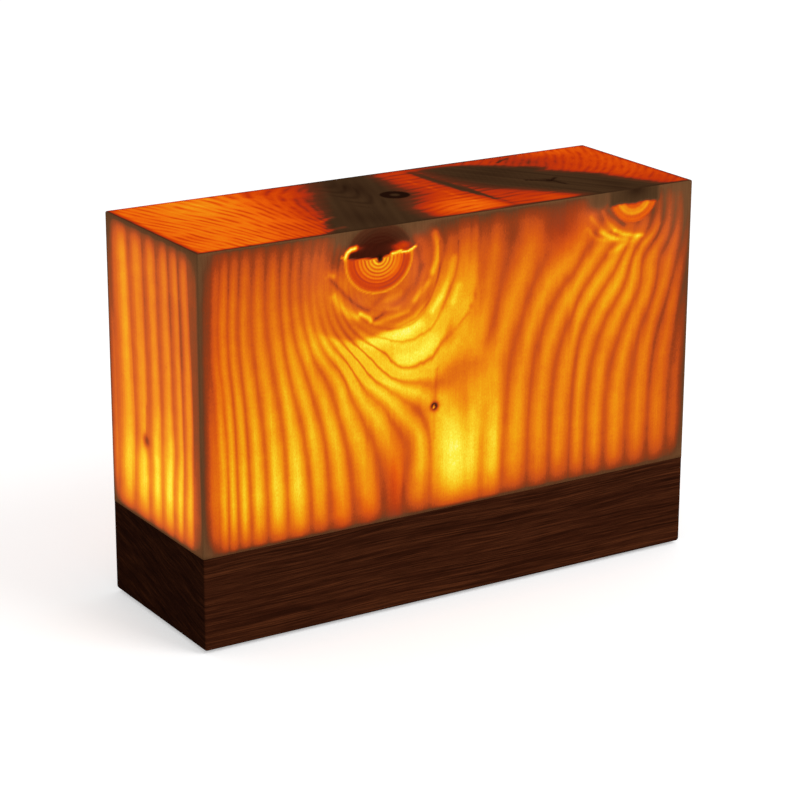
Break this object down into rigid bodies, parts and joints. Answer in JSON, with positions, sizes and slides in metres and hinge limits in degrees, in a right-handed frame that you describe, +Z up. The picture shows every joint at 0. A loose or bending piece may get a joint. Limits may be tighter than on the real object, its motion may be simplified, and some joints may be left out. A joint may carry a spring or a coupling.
{
  "type": "rechargeable table lamp",
  "caption": "Block-shaped table lamp: a hollow translucent pine shade with knots, flush on a dark walnut base with a rear push button and charging socket.",
  "frame": {"origin": "on the table, under the middle of the lamp", "axes": "+Z up; +X along the length; -Y out of the long front face; the switch and the socket face +Y"},
  "size_m": [0.24, 0.081, 0.1672],
  "materials": {
    "pine": "sanded pine with knots, thin enough to glow",
    "walnut": "oiled dark walnut",
    "cover_plastic": "black moulded cover",
    "foot_rubber": "black rubber",
    "screw_steel": "plated steel screws",
    "brass": "turned brass",
    "white_plywood": "plywood painted white",
    "light_board_white": "aluminium circuit board with white mask",
    "emitter": "warm white emitters",
    "socket_plastic": "natural nylon",
    "black_plastic": "black moulded plastic",
    "cell_wrap": "round cell in blue wrap",
    "contact_nickel": "nickel-plated strip",
    "circuit_board": "green circuit board",
    "chip_plastic": "black moulded package",
    "capacitor_can": "aluminium can",
    "fitting_steel": "turned stainless steel",
    "spring_steel": "spring wire",
    "milky_ring": "milky translucent plastic",
    "lead_red": "red insulated wire",
    "lead_black": "black insulated wire"
  },
  "bodies": {
    "lamp": {"battery_cell_1": "cell_wrap", "battery_cell_2": "cell_wrap", "battery_holder": "black_plastic", "battery_holder_screws": "screw_steel", "battery_lead_black": "lead_black", "battery_lead_red": "lead_red", "board_capacitors": "capacitor_can", "board_chips": "chip_plastic", "board_coil": "chip_plastic", "board_screws": "screw_steel", "board_sockets": "socket_plastic", "board_spacers": "brass", "bottom_cover": "cover_plastic", "button_barrel": "fitting_steel", "button_light_ring": "milky_ring", "button_nut": "fitting_steel", "button_spring": "spring_steel", "charge_lead_black": "lead_black", "charge_lead_red": "lead_red", "control_board": "circuit_board", "cover_inserts": "brass", "cover_screws": "screw_steel", "deck_screws": "screw_steel", "lamp_lead_black": "lead_black", "lamp_lead_red": "lead_red", "lead_grommet": "foot_rubber", "light_board": "light_board_white", "light_board_screws": "screw_steel", "light_deck": "white_plywood", "light_emitters": "emitter", "light_socket": "socket_plastic", "negative_contact": "contact_nickel", "pine_shade": "pine", "port_barrel": "fitting_steel", "port_core": "black_plastic", "port_nut": "fitting_steel", "port_shell": "fitting_steel", "port_tongue": "black_plastic", "positive_contact": "contact_nickel", "rubber_foot_1": "foot_rubber", "rubber_foot_2": "foot_rubber", "rubber_foot_3": "foot_rubber", "rubber_foot_4": "foot_rubber", "switch_block": "black_plastic", "switch_lead_black": "lead_black", "switch_lead_red": "lead_red", "switch_terminals": "brass", "walnut_base": "walnut"},
    "power_button": {"button_cap": "fitting_steel"}
  },
  "joints": [
    {"name": "button_press", "type": "slide", "parent": "lamp", "child": "power_button", "axis": [0, -1, 0], "range_m": [0, 0.0015], "stiffness_N_per_m": 1500, "deforming": ["button_spring"]}
  ]
}
